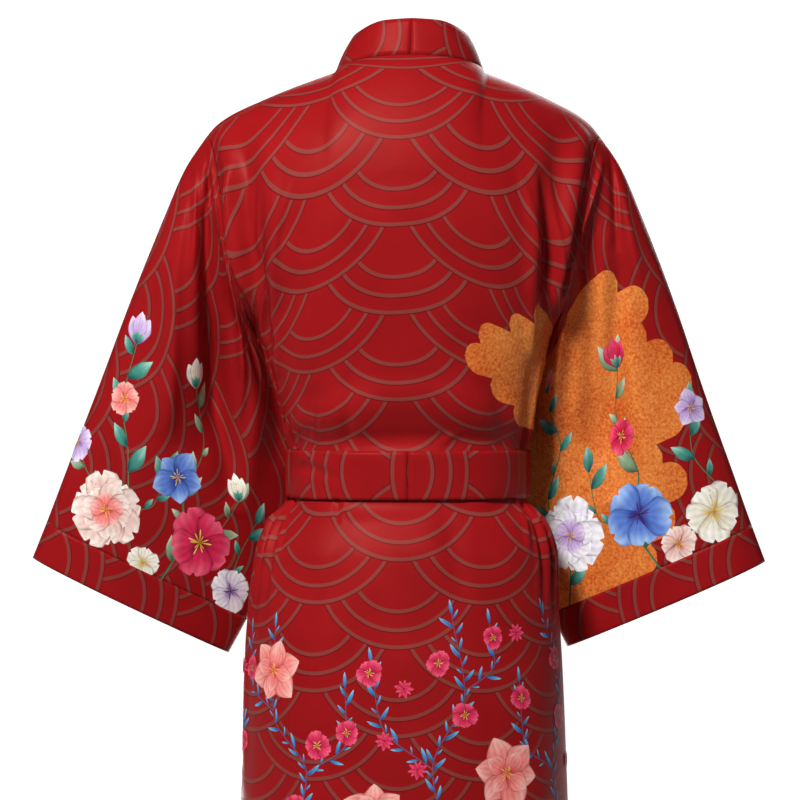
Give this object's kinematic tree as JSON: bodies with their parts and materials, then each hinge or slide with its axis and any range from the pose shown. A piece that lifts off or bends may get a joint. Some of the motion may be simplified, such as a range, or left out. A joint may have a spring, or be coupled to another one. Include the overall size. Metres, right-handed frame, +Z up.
{
  "type": "kimono robe",
  "caption": "Long satin kimono robe in its worn, hollow form, with wide cuffed sleeves, a neckband that runs to the hem and a belt tied at the front.",
  "frame": {"origin": "middle of the neck opening, level with the tops of the shoulders, where the wearer holds the robe up", "axes": "+Z up, towards the wearer's head; +X towards the wearer's left sleeve; the front of the robe faces -Y and its back faces +Y"},
  "size_m": [0.7982, 0.2902, 1.3029],
  "materials": {
    "robe_satin": "soft red satin with a tone-on-tone wave print and flower sprays",
    "band_satin": "folded double band of the same red satin, wave print turned along the band",
    "belt_satin": "folded double belt of the same red satin"
  },
  "bodies": {
    "root": {"back": "robe_satin", "back_skirt": "robe_satin", "front_left": "robe_satin", "front_left_skirt": "robe_satin", "front_right": "robe_satin", "front_right_skirt": "robe_satin", "sleeve_left": "robe_satin", "sleeve_left_lower": "robe_satin", "sleeve_right": "robe_satin", "sleeve_right_lower": "robe_satin", "cuff_left": "band_satin", "cuff_right": "band_satin", "collar_left": "band_satin", "collar_right": "band_satin", "neckband_left": "band_satin", "neckband_right": "band_satin", "belt_left": "belt_satin", "belt_right": "belt_satin", "belt_knot": "belt_satin", "belt_end_left": "belt_satin", "belt_end_right": "belt_satin"}
  },
  "joints": []
}
